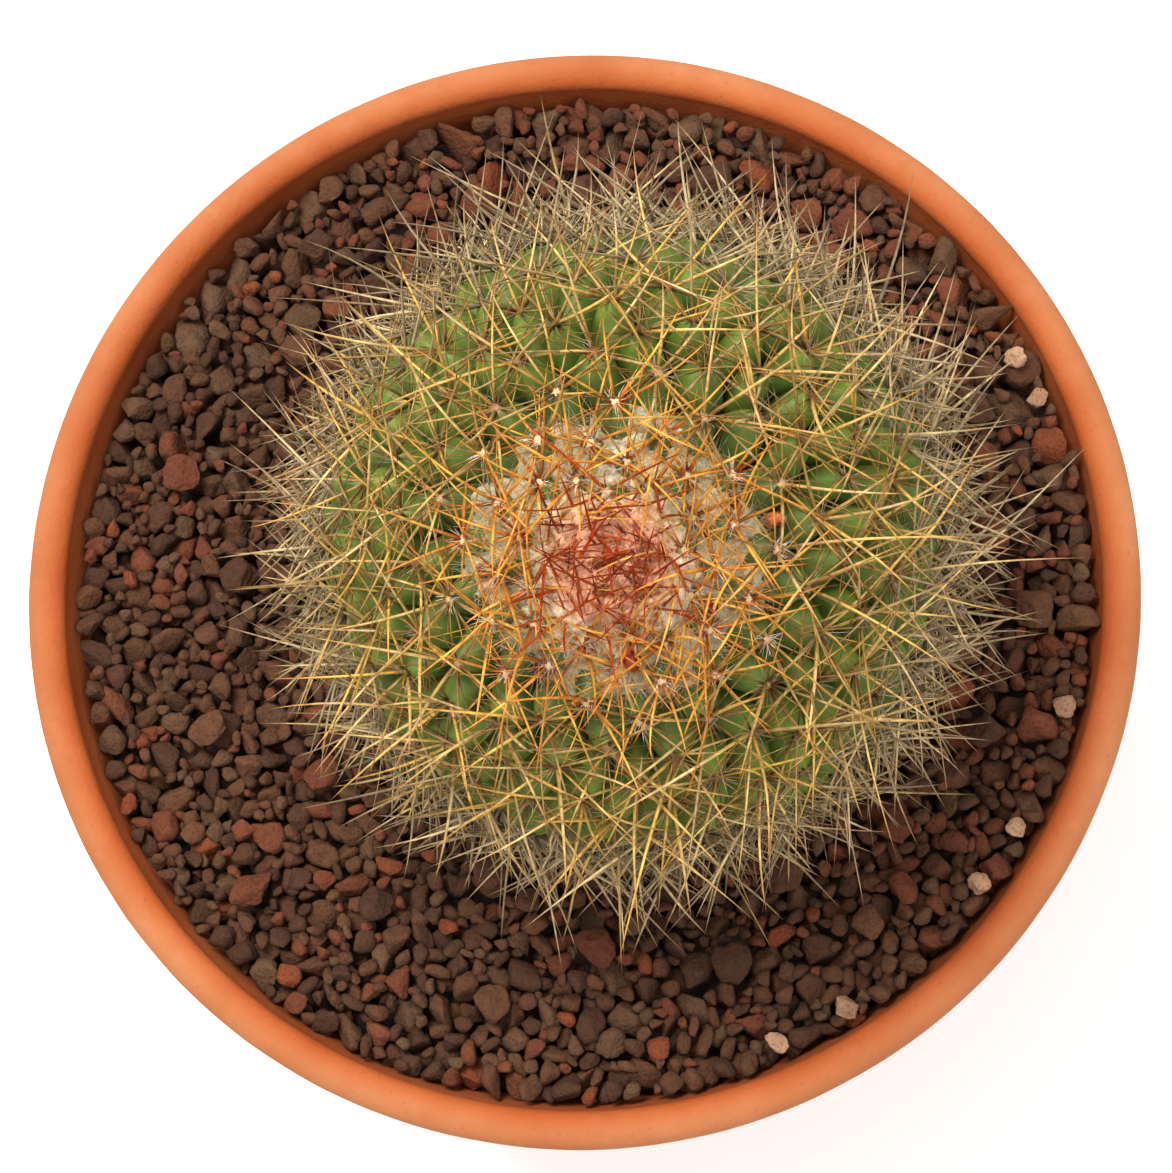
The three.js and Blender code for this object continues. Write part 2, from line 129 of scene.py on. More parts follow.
def waves(points, scale, seed):
    """Smooth noise, mostly from -1 to 1: a sum of sine waves in random directions."""
    rng = np.random.default_rng(seed)
    ways = unit(rng.normal(size=(WAVES, 3)))
    ways = ways * rng.uniform(0.7, 1.5, (WAVES, 1)) * (2 * math.pi / scale)
    starts = rng.uniform(0, 2 * math.pi, WAVES)
    return np.sin(points @ ways.T + starts).sum(axis=-1) / math.sqrt(WAVES) / 1.4


def circle(count):
    """Angles of points evenly round a circle."""
    return np.arange(count) * 2 * math.pi / count


def make_piece(name, points, faces, material, replaces, tint=None):
    """One mesh piece from arrays, riding on the body. faces: one array, or a list of several
    by corner count."""
    groups = [np.asarray(f) for f in (faces if isinstance(faces, list) else [faces]) if len(f)]
    mesh = bpy.data.meshes.new(name)
    mesh.vertices.add(len(points))
    mesh.vertices.foreach_set("co", np.asarray(points, np.float32).ravel())
    corners = np.concatenate([f.ravel() for f in groups]).astype(np.int32)
    totals = np.concatenate([np.full(len(f), f.shape[1]) for f in groups]).astype(np.int32)
    starts = np.concatenate([[0], np.cumsum(totals)[:-1]]).astype(np.int32)
    mesh.loops.add(len(corners))
    mesh.loops.foreach_set("vertex_index", corners)
    mesh.polygons.add(len(totals))
    mesh.polygons.foreach_set("loop_start", starts)
    mesh.polygons.foreach_set("loop_total", totals)
    mesh.polygons.foreach_set("use_smooth", np.ones(len(totals), bool))
    mesh.update(calc_edges=True)
    mesh.validate()
    if tint is not None:
        colour = np.ones((len(points), 4), np.float32)
        colour[:, :3] = tint
        attribute = mesh.attributes.new("tint", "FLOAT_COLOR", "POINT")
        attribute.data.foreach_set("color", colour.ravel())
    mesh.materials.append(material)
    piece = bpy.data.objects.new(name, mesh)
    bpy.context.scene.collection.objects.link(piece)
    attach(piece, BODY)
    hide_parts(*replaces)


def ring_faces(rings, around, closed=False):
    """Quads between successive rings of points, and from the last to the first if closed."""
    i = np.arange(rings if closed else rings - 1)[:, None] * around
    n = (i + around) % (rings * around)
    j = np.arange(around)[None, :]
    k = (j + 1) % around
    return np.stack([i + j, i + k, n + k, n + j], axis=-1).reshape(-1, 4)


def fan_faces(ring, middle):
    """Triangles between a ring of points and one point."""
    return np.stack([ring, np.roll(ring, -1), np.full(len(ring), middle)], axis=-1)


# ---------------- materials


class Shader:
    """A material with a Principled surface and short calls for its nodes."""

    def __init__(self, name, roughness, **sockets):
        self.material = bpy.data.materials.new(name)
        self.material.use_nodes = True
        self.tree = self.material.node_tree
        self.surface = self.tree.nodes["Principled BSDF"]
        self.surface.inputs["Roughness"].default_value = roughness
        for socket, value in sockets.items():
            self.surface.inputs[socket.replace("_", " ")].default_value = value
        self.place = self.tree.nodes.new("ShaderNodeTexCoord").outputs["Object"]

    def link(self, a, b):
        self.tree.links.new(a, b)

    def tint(self):
        node = self.tree.nodes.new("ShaderNodeAttribute")
        node.attribute_name = "tint"
        return node.outputs["Color"]

    def noise(self, size, detail=3, roughness=0.55):
        node = self.tree.nodes.new("ShaderNodeTexNoise")
        node.inputs["Scale"].default_value = 1 / size
        node.inputs["Detail"].default_value = detail
        node.inputs["Roughness"].default_value = roughness
        self.link(self.place, node.inputs["Vector"])
        return node.outputs["Fac"]

    def cells(self, size):
        node = self.tree.nodes.new("ShaderNodeTexVoronoi")
        node.inputs["Scale"].default_value = 1 / size
        self.link(self.place, node.inputs["Vector"])
        return node.outputs["Distance"]

    def ramp(self, value, *stops):
        node = self.tree.nodes.new("ShaderNodeValToRGB")
        elements = node.color_ramp.elements
        while len(elements) < len(stops):
            elements.new(0.5)
        for element, (place, colour) in zip(elements, stops):
            element.position = place
            element.color = (*colour, 1)
        self.link(value, node.inputs["Fac"])
        return node.outputs["Color"]

    def blend(self, kind, share, a, b):
        """share and b may be values or outputs."""
        node = self.tree.nodes.new("ShaderNodeMix")
        node.data_type = "RGBA"
        node.blend_type = kind
        factor, first, second = node.inputs[0], node.inputs[6], node.inputs[7]
        for socket, value in ((factor, share), (first, a), (second, b)):
            if isinstance(value, bpy.types.NodeSocket):
                self.link(value, socket)
            elif socket is factor:
                socket.default_value = value
            else:
                socket.default_value = (*value, 1)
        return node.outputs[2]

    def spread(self, value, low, high, to_low=0.0, to_high=1.0):
        node = self.tree.nodes.new("ShaderNodeMapRange")
        node.inputs["From Min"].default_value = low
        node.inputs["From Max"].default_value = high
        node.inputs["To Min"].default_value = to_low
        node.inputs["To Max"].default_value = to_high
        self.link(value, node.inputs["Value"])
        return node.outputs["Result"]

    def colour(self, output):
        self.link(output, self.surface.inputs["Base Color"])

    def bump(self, *layers):
        """Layers are (height output, depth in metres), coarse first."""
        normal = None
        for height, depth in layers:
            node = self.tree.nodes.new("ShaderNodeBump")
            node.inputs["Distance"].default_value = depth
            self.link(height, node.inputs["Height"])
            if normal is not None:
                self.link(normal, node.inputs["Normal"])
            normal = node.outputs["Normal"]
        self.link(normal, self.surface.inputs["Normal"])

    def rough(self, output):
        self.link(output, self.surface.inputs["Roughness"])


def grey(value):
    return (value, value, value)


def terracotta_material():
    s = Shader("terracotta", 0.85, Specular_IOR_Level=0.25)
    broad = s.noise(26 * MM, 4)
    clay = s.ramp(broad, (0.32, srgb(153, 89, 51)), (0.5, srgb(160, 97, 58)),
                  (0.7, srgb(166, 107, 68)))
    dusty = s.spread(s.noise(9 * MM, 6, 0.7), 0.52, 0.72)
    clay = s.blend("MIX", s.spread(dusty, 0, 1, 0, 0.22), clay, srgb(176, 122, 92))
    specks = s.spread(s.cells(2.3 * MM), 0.05, 0.16, 0.3, 0)
    clay = s.blend("MIX", specks, clay, srgb(140, 62, 36))
    clay = s.blend("MULTIPLY", 1.0, clay, s.tint())
    s.colour(clay)
    s.bump((s.noise(4 * MM, 4), 0.25 * MM), (s.noise(0.9 * MM, 3), 0.12 * MM))
    return s.material


def broken_clay_material():
    s = Shader("broken_clay", 0.9)
    s.colour(s.ramp(s.noise(7 * MM, 5), (0.35, srgb(168, 84, 50)), (0.65, srgb(206, 118, 78))))
    s.bump((s.noise(2 * MM, 5), 0.4 * MM))
    return s.material


def loose_fill_material(name, size, dark, light):
    s = Shader(name, 0.95)
    cells = s.cells(size)
    # each grain lighter in its middle and darker towards its edges: painted shade in the gaps between
    # grains
    s.colour(s.ramp(cells, (0.1, light), (0.75, dark)))
    s.bump((cells, -size * 0.6), (s.noise(size * 0.3, 4), size * 0.1))
    return s.material


def rock_material():
    s = Shader("lava_rock", 0.93, Specular_IOR_Level=0.25)
    mottle = s.ramp(s.noise(1.3 * MM, 5, 0.65), (0.3, grey(0.8)), (0.52, grey(1.0)),
                    (0.74, grey(1.2)))
    rock = s.blend("MULTIPLY", 1.0, s.tint(), mottle)
    # the pits are real, their darkening to near-black is painted shade in the pores
    pore_shade = s.spread(s.cells(0.75 * MM), 0.1, 0.34, 0.5, 0)
    rock = s.blend("MIX", pore_shade, rock, srgb(38, 22, 16))
    s.colour(rock)
    s.bump((s.cells(0.75 * MM), 0.22 * MM), (s.noise(0.5 * MM, 4, 0.7), 0.2 * MM))
    return s.material


def skin_material():
    s = Shader("cactus_skin", 0.52, Specular_IOR_Level=0.35, Subsurface_Weight=0.08,
               Subsurface_Radius=(0.3 * MM, 0.8 * MM, 0.15 * MM), Subsurface_Scale=1.0)
    patches = s.ramp(s.noise(3.5 * MM, 4), (0.3, grey(0.78)), (0.7, grey(1.18)))
    skin = s.blend("MULTIPLY", 1.0, s.tint(), patches)
    dots = s.spread(s.cells(0.55 * MM), 0.08, 0.26, 0.2, 0)
    skin = s.blend("MIX", dots, skin, srgb(150, 168, 104))
    s.colour(skin)
    s.rough(s.spread(s.noise(1.2 * MM, 3), 0.3, 0.7, 0.42, 0.62))
    s.bump((s.noise(0.8 * MM, 3), 0.08 * MM))
    return s.material


def spine_material():
    s = Shader("spine", 0.45, Specular_IOR_Level=0.22)
    grain = s.ramp(s.noise(1.6 * MM, 4), (0.3, grey(0.62)), (0.5, grey(0.95)), (0.7, grey(1.3)))
    s.colour(s.blend("MULTIPLY", 1.0, s.tint(), grain))
    s.bump((s.noise(0.35 * MM, 2), 0.05 * MM))
    return s.material


def wool_material():
    s = Shader("wool", 0.95, Specular_IOR_Level=0.15, Sheen_Weight=0.2)
    tufts = s.ramp(s.noise(1.1 * MM, 6, 0.75), (0.32, grey(0.64)), (0.5, grey(1.0)),
                   (0.68, grey(1.1)))
    s.colour(s.blend("MULTIPLY", 1.0, s.tint(), tufts))
    s.bump((s.noise(0.8 * MM, 6, 0.75), 0.6 * MM))
    return s.material


def dried_material(name, size, depth, dark, middle, light):
    s = Shader(name, 0.6)
    s.colour(s.ramp(s.noise(size, 4), (0.3, dark), (0.55, middle), (0.75, light)))
    s.bump((s.noise(0.5 * MM, 4), depth))
    return s.material


terracotta = terracotta_material()
rock_stuff = rock_material()
skin_stuff = skin_material()
spine_stuff = spine_material()
wool_stuff = wool_material()
petal_stuff = dried_material("dried_petal", 1.2 * MM, 0.25 * MM, srgb(82, 14, 8),
                             srgb(136, 32, 17), srgb(170, 66, 38))
husk_stuff = dried_material("dried_husk", 1.6 * MM, 0.2 * MM, srgb(150, 68, 30),
                            srgb(205, 112, 58), srgb(226, 146, 90))


def repaint(node, material):
    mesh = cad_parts[node].data
    mesh.materials.clear()
    mesh.materials.append(material)


repaint("drain_crock", broken_clay_material())
repaint("drainage_gravel",
        loose_fill_material("gravel", 7 * MM, srgb(70, 66, 60), srgb(164, 158, 148)))
repaint("potting_mix",
        loose_fill_material("potting_mix", 3 * MM, srgb(26, 18, 12), srgb(74, 54, 38)))

# ---------------- pot


def arc(cx, cz, radius, start, end, steps, rise=None):
    """Points of an arc, from start to end in degrees. rise: its radius along z, if not round."""
    a = np.radians(np.linspace(start, end, steps))
    return np.stack([cx + radius * np.cos(a), cz + (rise or radius) * np.sin(a)], axis=-1)


def stretch(a, b, steps):
    """Points from a towards b, without b."""
    t = np.linspace(0, 1, steps, endpoint=False)[:, None]
    return np.array(a) + (np.array(b) - np.array(a)) * t


def pot_profile():
    """Closed outline of the wall, as radius and height: outside up, over the lip, inside down."""
    collar_foot = POT_HEIGHT - COLLAR_HEIGHT
    collar = RIM_RADIUS - COLLAR_FLARE
    wall_top = collar - COLLAR_STEP
    half = LIP_WIDTH / 2
    lip_rise = 0.8 * half
    lip_base = POT_HEIGHT - lip_rise
    soft = EDGE_ROUND
    inner_foot = inside_radius(BASE_THICKNESS)
    floor_edge = (inner_foot - INNER_ROUND, BASE_THICKNESS)
    inner_wall_foot = (inner_foot, BASE_THICKNESS + INNER_ROUND)
    return np.concatenate([
        arc(FOOT_RADIUS - soft, soft, soft, -90, -10, 6),
        stretch((FOOT_RADIUS, soft), (wall_top, collar_foot - soft), 40),
        arc(wall_top + soft, collar_foot - soft, soft, 180, 100, 5),
        arc(collar - soft, collar_foot + soft, soft, -90, -10, 6),
        stretch((collar, collar_foot + soft), (RIM_RADIUS, lip_base), 16),
        arc(RIM_RADIUS - half, lip_base, half, 0, 180, 18, rise=lip_rise),
        stretch((RIM_RADIUS - LIP_WIDTH, lip_base - 0.4 * MM), inner_wall_foot, 44),
        arc(floor_edge[0], inner_wall_foot[1], INNER_ROUND, 0, -80, 5),
        stretch(floor_edge, (DRAIN_RADIUS + soft, BASE_THICKNESS), 12),
        arc(DRAIN_RADIUS + soft, BASE_THICKNESS - soft, soft, 90, 180, 5),
        arc(DRAIN_RADIUS + soft, soft, soft, 180, 270, 5),
        stretch((DRAIN_RADIUS + 2 * soft, 0), (FOOT_RADIUS - 2 * soft, 0), 10),
    ])


# Multipliers of the clay's colour: paler outside as painted light, deeper on the inner half of the lip
# and down the inner wall as painted shade
LIT_OUTSIDE_CLAY = np.array([1.03, 1.08, 1.15])
SHADED_LIP_CLAY = np.array([1.04, 0.72, 0.48])
SHADED_WALL_CLAY = np.array([0.84, 0.64, 0.46])
TURNING_DEPTH = 0.05 * MM
LIP_WANDER = 0.22 * MM


def build_pot():
    profile = pot_profile()
    around = 288
    a = circle(around)
    ring = np.stack([np.cos(a), np.sin(a), np.zeros(around)], axis=-1)
    radius, height = profile[:, 0], profile[:, 1]
    points = radius[:, None, None] * ring + height[:, None, None] * np.array([0, 0, 1.0])
    points = points.reshape(-1, 3)
    # unevenness: faint turning lines on the walls, a little wander of the lip
    out = unit(points * np.array([1, 1, 0]))
    reach = np.repeat(radius, around)
    level = np.repeat(height, around)
    wall = smooth(level, 4 * MM, 14 * MM)
    wall = wall * (1 - smooth(level, POT_HEIGHT - 3 * MM, POT_HEIGHT - 1 * MM))
    lines = waves(points * [0.1, 0.1, 1], 3.2 * MM / 3, 4)
    turning = np.sin(level / (2.9 * MM) + 1.2 * waves(points * [1, 1, 3], 60 * MM, 5))
    points = points + out * (wall * TURNING_DEPTH * (turning + lines))[:, None]
    wander = waves(out, 1.6, 8) * LIP_WANDER * smooth(level, 90 * MM, POT_HEIGHT)
    points[:, 2] += np.minimum(wander, 0) * smooth(reach, 80 * MM, 93 * MM)
    # painted light and shade: paler outside, and deeper from the middle of the lip inwards and down the
    # inside as painted shade
    inward = smooth(RIM_RADIUS - reach, 0.25 * LIP_WIDTH, LIP_WIDTH)
    inward = inward * (level > POT_HEIGHT - 2 * LIP_WIDTH)
    within = (reach < inside_radius(level) + 1.2 * MM) & (level > BASE_THICKNESS)
    below = np.where(within, smooth(POT_HEIGHT - level, 2 * MM, 7 * MM), 0.0)
    tint = mix(mix(LIT_OUTSIDE_CLAY, SHADED_LIP_CLAY, inward[:, None]), SHADED_WALL_CLAY, below[:, None])
    faces = ring_faces(len(profile), around, closed=True)
    make_piece("terracotta_pot", points, faces, terracotta, ["pot"], tint)


build_pot()

# ---------------- grit


def icosphere(subdivisions):
    bm = bmesh.new()
    bmesh.ops.create_icosphere(bm, subdivisions=subdivisions, radius=1)
    points = np.array([v.co[:] for v in bm.verts])
    faces = np.array([[v.index for v in f.verts] for f in bm.faces])
    bm.free()
    return points, faces


HEAP_DEPTH = 6.5 * MM    # the lowest stones below the bed's mean top
HEAP_CROWN = 1.2 * MM    # the stones' tops above it
WALL_RISE = 0.9 * MM     # how much higher they lie along the wall
STEM_CLEAR = 32 * MM     # half-width of the place that the stem fills
STONE_TALL = 0.72        # a stone's half-height as a share of its half-width
RESTING_REACH = 0.85     # the share of its half-width over which it can rest on others
RESTING_AREA = 0.72      # the share of its plan area over which it does
CELL = 0.5 * MM          # of the heap's height grid
TOP_LAYER = 4 * MM       # what is left to fill when the larger stones' places are closed
MOST_MISSES = 400        # stones that find no place before the heap counts as full
TRIES = 14               # places tried for one stone
WALL_TRIES = 3           # of them, along the wall
MOST_OVER = 2 * MM       # how far a stone may stand over the heap's goal
TOP_UP_RADII = (2.0 * MM, 1.6 * MM, 1.2 * MM)
TOP_UP_ROOM = 1.6        # the depth of a gap that such a stone goes into, in its radii
TOP_UP_OVER = 1.2 * MM   # how far it may stand over the goal
MOST_FACES = 190_000     # in one piece


def rock_shapes(count, subdivisions, seed):
    """Rough stones about 1 in half-width: a ball with flattened sides, lumps and pits."""
    rng = np.random.default_rng(seed)
    ball, faces = icosphere(subdivisions)
    shapes = []
    for i in range(count):
        points = ball.copy()
        for _ in range(rng.integers(7, 12)):
            way = unit(rng.normal(size=3))
            over = points @ way - rng.uniform(0.45, 0.82)
            points = points - np.maximum(over, 0)[:, None] * way * 0.94
        lumps = 0.10 * waves(ball, 1.3, seed * 100 + i)
        lumps += 0.05 * waves(ball, 0.55, seed * 100 + 50 + i)
        for _ in range(7):
            spot = unit(rng.normal(size=3))
            near = np.linalg.norm(ball - spot, axis=1)
            lumps -= 0.12 * np.exp(-((near / rng.uniform(0.14, 0.24)) ** 2))
        points = points * (1 + lumps)[:, None]
        points *= np.array([1, rng.uniform(0.6, 0.92), rng.uniform(0.55, 0.8)])
        shapes.append(points / np.sqrt(np.prod(np.ptp(points[:, :2], axis=0) / 2)))
    return shapes, faces


def random_turns(rng, count, tilt):
    """Rotation matrices: any heading, and tipped by up to about tilt radians."""
    turns = []
    for _ in range(count):
        heading = Quaternion((0, 0, 1), rng.uniform(0, 2 * math.pi))
        way = rng.uniform(0, 2 * math.pi)
        tip = Quaternion((math.cos(way), math.sin(way), 0), rng.normal(0, tilt))
        turns.append(np.array((tip @ heading).to_matrix()))
    return np.array(turns)


class Heap:
    """Stones lying on one another, as a height grid over the bed."""

    def __init__(self, obstacles):
        self.axis = np.arange(-RIM_RADIUS, RIM_RADIUS, CELL)
        self.gx, self.gy = np.meshgrid(self.axis, self.axis, indexing="ij")
        reach = np.hypot(self.gx, self.gy)
        wall = inside_radius(bed_top)
        slope = BED_RISE * self.gx
        along_wall = WALL_RISE * smooth(reach, wall - 6 * MM, wall)
        self.surface = bed_top - HEAP_DEPTH + slope
        self.goal = bed_top + HEAP_CROWN + slope + along_wall
        from_stem = np.hypot(self.gx - STEM_X, self.gy - STEM_Y)
        self.open = (reach < wall - 1 * MM) & (from_stem > STEM_CLEAR)
        self.obstacles = obstacles
        self.stones = []

    def block_obstacles(self):
        """Marks the larger stones' places as full, so that the top layer lies round them."""
        for low, high in self.obstacles:
            middle = (low + high) / 2
            radius = 0.95 * max(high.x - low.x, high.y - low.y) / 2
            there = np.hypot(self.gx - middle.x, self.gy - middle.y) < radius
            self.surface[there] = high.z + HEAP_DEPTH
            self.open[there] = False

    def drop(self, x, y, radius):
        """Where a stone dropped at x, y comes to rest: its excess over the goal, and what
        settle needs to leave it there."""
        reach = RESTING_REACH * radius
        columns = slice(*np.searchsorted(self.axis, (x - reach, x + reach)))
        rows = slice(*np.searchsorted(self.axis, (y - reach, y + reach)))
        window = (columns, rows)
        near = ((self.gx[window] - x) ** 2 + (self.gy[window] - y) ** 2) / radius ** 2
        tall = STONE_TALL * radius
        bulge = tall * np.sqrt(np.clip(1 - near, 0, 1))
        z = (self.surface[window] + bulge)[near < RESTING_AREA].max()
        i, j = np.searchsorted(self.axis, (x, y))
        return z + tall - self.goal[i, j], (x, y, z, radius, window, near, bulge)

    def settle(self, x, y, z, radius, window, near, bulge):
        patch = self.surface[window]
        patch[near < 1] = np.maximum(patch, z + bulge)[near < 1]
        self.stones.append((x, y, z - 0.25 * radius, radius))

    def fill(self, rng):
        """The body of the heap: each stone goes into the lowest of a few places."""
        misses = 0
        blocked = False
        while misses < MOST_MISSES:
            if not blocked and np.median((self.goal - self.surface)[self.open]) < TOP_LAYER:
                self.block_obstacles()
                blocked = True
            size = MM * (1.8 + 2.6 * rng.beta(1.8, 2.6))
            landings = []
            for attempt in range(TRIES):
                turn = rng.uniform(0, 2 * math.pi)
                radius = size * (1 + 0.16 * math.cos(turn - math.pi / 4))
                wall = inside_radius(bed_top) - 0.9 * radius
                reach = wall if attempt < WALL_TRIES else wall * math.sqrt(rng.uniform())
                x, y = reach * math.cos(turn), reach * math.sin(turn)
                if math.hypot(x - STEM_X, y - STEM_Y) > STEM_CLEAR:
                    landings.append(self.drop(x, y, radius))
            over, landing = min(landings, key=lambda found: found[0])
            if over > MOST_OVER:
                misses += 1
                continue
            self.settle(*landing)

    def top_up(self, rng):
        """Small stones into what gaps are left on top."""
        for radius in TOP_UP_RADII:
            room = TOP_UP_ROOM * radius
            low = np.argwhere(self.open & (self.goal - self.surface > room))
            for i, j in rng.permutation(low):
                if self.goal[i, j] - self.surface[i, j] < room:
                    continue
                x, y = self.axis[i], self.axis[j]
                reach = math.hypot(x, y)
                inwards = min(1, (inside_radius(bed_top) - 0.85 * radius) / reach)
                size = radius * rng.uniform(0.85, 1.15)
                over, landing = self.drop(x * inwards, y * inwards, size)
                if over < TOP_UP_OVER:
                    self.settle(*landing)


LAVA_BROWN = srgb(89, 59, 40)
LAVA_DARK = srgb(75, 50, 35)
LAVA_RED = srgb(103, 59, 39)
LAVA_GREY = srgb(90, 65, 46)
LAVA_ORANGE = srgb(116, 62, 37)


def rock_colours(rng, places):
    """Lava grit: mostly brown, some brick red, more so to the right and rear, a few orange."""
    reddish = smooth(places[:, 0] + places[:, 1], -40 * MM, 90 * MM)
    kinds = np.array([LAVA_BROWN, LAVA_DARK, LAVA_GREY, LAVA_RED, LAVA_ORANGE])
    brown = np.array([0.40, 0.30, 0.14, 0.14, 0.02])
    red = np.array([0.36, 0.20, 0.10, 0.30, 0.04])
    limits = np.cumsum(mix(brown, red, reddish[:, None]), axis=1)
    pick = (rng.uniform(size=(len(places), 1)) > limits[:, :-1]).sum(axis=1)
    shade = rng.uniform(0.88, 1.14, (len(places), 1)) * rng.uniform(0.97, 1.03, (len(places), 3))
    return kinds[pick] * shade


def build_rocks(name, replaced, centres, radii, colours, rocks, seed, tilt):
    """One piece of one or many stones. radii: half-widths, or each stone's full size by axis.
    rocks: the shapes to pick from, and their faces."""
    shapes, faces = rocks
    rng = np.random.default_rng(seed)
    turns = random_turns(rng, len(centres), tilt)
    picks = rng.integers(0, len(shapes), len(centres))
    points = []
    for centre, radius, turn, pick in zip(centres, radii, turns, picks):
        stone = shapes[pick] @ turn.T
        if np.ndim(radius):
            stone = stone * (radius / np.ptp(stone, axis=0))
            stone = stone - (stone.max(axis=0) + stone.min(axis=0)) / 2
        else:
            stone = stone * radius
        points.append(stone + centre)
    count = len(shapes[0])
    shift = (np.arange(len(centres)) * count)[:, None, None]
    all_faces = (faces[None] + shift).reshape(-1, 3)
    tint = np.repeat(colours, count, axis=0)
    make_piece(name, np.concatenate(points), all_faces, rock_stuff, replaced, tint)


def build_grit():
    loose = sorted(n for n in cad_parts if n.startswith("lava_stone_"))
    pale = sorted(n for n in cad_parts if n.startswith("pale_stone_"))
    large_rocks = rock_shapes(10, 4, 3)
    rng = np.random.default_rng(17)
    for names, slot, kinds in (
        (loose, "lava_stone", [LAVA_RED, LAVA_BROWN, LAVA_DARK]),
        (pale, "pale_stone", [srgb(170, 134, 106), srgb(158, 122, 95), srgb(144, 110, 86)]),
    ):
        for i, name in enumerate(names):
            low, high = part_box(name)
            centre = np.array([(low + high) / 2])
            size = np.array([high - low])
            colour = np.array([kinds[i % len(kinds)]]) * rng.uniform(0.85, 1.15)
            build_rocks(name + "_rock", [name], centre, size, colour, large_rocks,
                        seed=200 + i, tilt=0.2)

    heap = Heap([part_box(n) for n in loose + pale])
    settling = np.random.default_rng(31)
    heap.fill(settling)
    coarse = len(heap.stones)
    heap.top_up(settling)
    stones = np.array(heap.stones)
    centres, radii = stones[:, :3], stones[:, 3]
    colours = rock_colours(rng, stones)
    rocks = rock_shapes(28, 3, 7)
    small_rocks = rock_shapes(16, 2, 9)
    turned = np.arctan2(stones[:, 1], stones[:, 0])
    order = np.argsort(turned[:coarse])
    parts = math.ceil(coarse * len(rocks[1]) / MOST_FACES)
    for k, chosen in enumerate(np.array_split(order, parts)):
        build_rocks(f"lava_grit_{k + 1}", ["lava_bed"], centres[chosen],
                    radii[chosen], colours[chosen], rocks, seed=300 + k, tilt=0.5)
    build_rocks("lava_grit_fine", ["lava_bed"], centres[coarse:],
                radii[coarse:], colours[coarse:], small_rocks, seed=350, tilt=0.5)


build_grit()


FILL_BELOW = 4.5 * MM    # top of the dark fill below the bed's mean top
FILL_GAP = 0.4 * MM      # to the pot's wall
FILL_INNER = 27 * MM     # its inner radius, round the stem


def build_grit_base():
    """Dark fill under the loose grit, from the bed's foot up among the lowest stones; its dark colour
    is painted shade for the gaps between the stones.
    """
    around = 96
    a = circle(around)
    top = bed_top - FILL_BELOW
    foot = bed_low.z
    inner = (STEM_X, STEM_Y, FILL_INNER)
    outline = [
        (*inner, top),
        (0, 0, 0.6 * RIM_RADIUS, top),
        (0, 0, inside_radius(top) - FILL_GAP, top),
        (0, 0, inside_radius(foot) - FILL_GAP, foot),
        (*inner, foot),
    ]
    points = []
    for cx, cy, radius, z in outline:
        x, y = cx + radius * np.cos(a), cy + radius * np.sin(a)
        points.append(np.stack([x, y, np.full(around, z) + BED_RISE * x * (z == top)], axis=-1))
    faces = ring_faces(len(outline), around, closed=True)
    # dark colours: painted shade seen in the gaps between the stones
    fill = loose_fill_material("shaded_grit_fill", 3.5 * MM, srgb(26, 16, 12), srgb(76, 48, 38))
    make_piece("lava_fill", np.concatenate(points), faces, fill, ["lava_bed"])


build_grit_base()

# ---------------- stem


def globe_radius(way):
    axial = np.where(way[..., 2] > 0, STEM_ABOVE, STEM_BELOW)
    across = np.hypot(way[..., 0], way[..., 1]) / STEM_RADIUS
    return 1 / np.hypot(across, way[..., 2] / axial)


def crown_distance(way):
    """Distance along the skin from the crown's centre."""
    return STEM_RADIUS * np.arccos(np.clip(way[..., 2], -1, 1))


def maturity(way):
    return smooth(crown_distance(way), CROWN_RADIUS * 0.6, MATURE_DISTANCE)


def tubercle_ways():
    """Unit directions of the tubercles from the globe's centre, youngest first."""
    skin_area = 2 * math.pi * STEM_RADIUS * (STEM_ABOVE + STEM_BELOW) / 2
    ways = []
    covered = 0.0
    while covered < 2:
        spacing = mix(YOUNG_SPACING, TUBERCLE_SPACING, maturity(np.array([0, 0, 1 - covered])))
        share = (math.sqrt(3) / 2) * spacing ** 2 / skin_area
        z = max(1 - covered - share / 2, -1)
        flat = math.sqrt(1 - z * z)
        turn = len(ways) * GOLDEN_ANGLE
        ways.append((flat * math.cos(turn), flat * math.sin(turn), z))
        covered += share
    return np.array(ways)


def to_world(points):
    """From the stem's own frame, whose +Z is the growth axis, to the row frame."""
    return points @ stem_turn.T + stem_centre


tubercles = tubercle_ways()


def skin_cells():
    """Neighbouring tubercles meet in axils, at the middles of the hull's triangles. Returns the
    axils' directions and, for each tubercle, its axils in turn."""
    bm = bmesh.new()
    for way in tubercles:
        bm.verts.new(way)
    bm.verts.ensure_lookup_table()
    bm.verts.index_update()
    bmesh.ops.convex_hull(bm, input=bm.verts)
    bmesh.ops.triangulate(bm, faces=bm.faces)
    triangles = np.array([[v.index for v in f.verts] for f in bm.faces])
    bm.free()
    axils = unit(tubercles[triangles].mean(axis=1))
    cells = [[] for _ in tubercles]
    for t, corners in enumerate(triangles):
        for corner in corners:
            cells[corner].append(t)
    ordered = []
    for way, cell in zip(tubercles, cells):
        side = unit(np.cross(way, axils[cell[0]]))
        front = np.cross(side, way)
        turn = np.arctan2(axils[cell] @ side, axils[cell] @ front)
        ordered.append([cell[k] for k in np.argsort(turn)])
    return axils, ordered


axils, cells = skin_cells()

# A tubercle's outline from its base up: height share, and width share there.
TUBERCLE_OUTLINE = [(0.0, 1.0), (0.14, 0.95), (0.32, 0.87), (0.5, 0.76), (0.67, 0.62), (0.81, 0.47),
                    (0.91, 0.34), (0.97, 0.24), (1.0, 0.15)]
EDGE_STEPS = 3
TIP_SHIFT = 1.9 * MM     # how far grown tubercles' tips lie away from the crown
TIP_WANDER = 0.25 * MM


